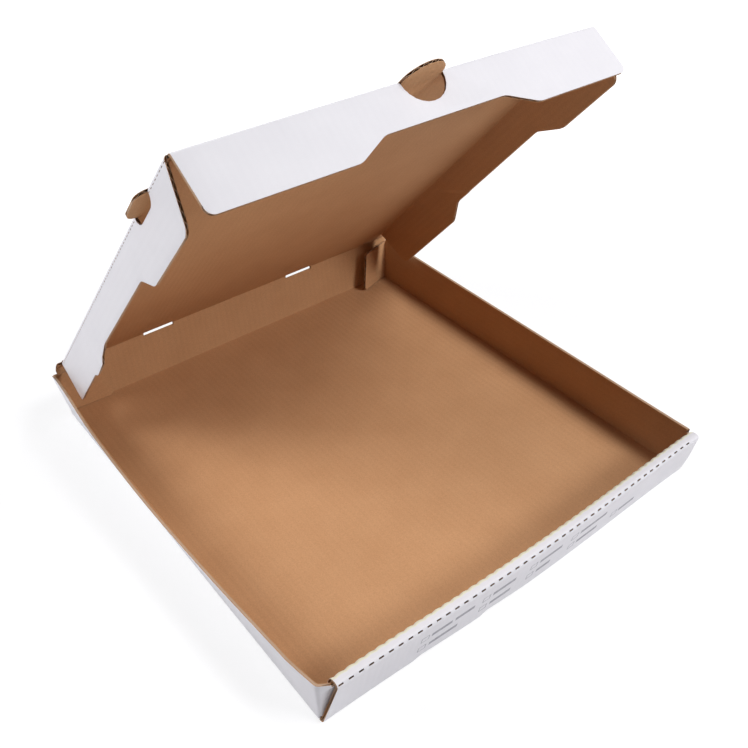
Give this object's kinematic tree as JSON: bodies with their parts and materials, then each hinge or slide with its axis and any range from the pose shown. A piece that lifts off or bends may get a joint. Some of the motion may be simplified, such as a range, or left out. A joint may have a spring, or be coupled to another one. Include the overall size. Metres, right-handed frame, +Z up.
{
  "type": "pizza box",
  "caption": "Square take-away pizza box of corrugated board, white outside and brown inside, with a hinged lid standing open over a shallow tray.",
  "frame": {"origin": "centre of the tray's flat underside", "axes": "+Z up, -Y towards the front wall, +X to the right of someone facing the front wall"},
  "size_m": [0.4301, 0.4247, 0.3806],
  "materials": {
    "brown_board": "matt",
    "white_board": "matt"
  },
  "bodies": {
    "tray": {"base_tray": "brown_board"},
    "lid": {"lid_panel": "brown_board"},
    "front_flap": {"lid_front_flap": "white_board"},
    "left_flap": {"lid_left_flap": "white_board"},
    "right_flap": {"lid_right_flap": "white_board"},
    "left_rear_flap": {"left_rear_flap": "brown_board"},
    "right_rear_flap": {"right_rear_flap": "brown_board"}
  },
  "joints": [
    {"name": "lid_hinge", "type": "hinge", "parent": "tray", "child": "lid", "pos_m": [0, 0.2121, 0.0496], "axis": [-1, 0, 0], "range_deg": [-51.1, 128.9]},
    {"name": "front_flap_fold", "type": "hinge", "parent": "lid", "child": "front_flap", "pos_m": [0, -0.04222, 0.36479], "axis": [1, 0, 0], "range_deg": [0, 12]},
    {"name": "left_flap_fold", "type": "hinge", "parent": "lid", "child": "left_flap", "pos_m": [-0.1986, 0.2121, 0.0496], "axis": [0.0099, -0.6279, 0.7782], "range_deg": [0, 12]},
    {"name": "right_flap_fold", "type": "hinge", "parent": "lid", "child": "right_flap", "pos_m": [0.1966, 0.2121, 0.0496], "axis": [0.0049, 0.628, -0.7782], "range_deg": [0, 12]},
    {"name": "left_rear_fold", "type": "hinge", "parent": "tray", "child": "left_rear_flap", "pos_m": [-0.2016, 0.19995, 0.006], "axis": [0.2063, -0.1988, -0.9581], "range_deg": [-1, 18]},
    {"name": "right_rear_fold", "type": "hinge", "parent": "tray", "child": "right_rear_flap", "pos_m": [0.2016, 0.19995, 0.006], "axis": [0.1255, 0.2015, 0.9714], "range_deg": [-16, 3]}
  ]
}
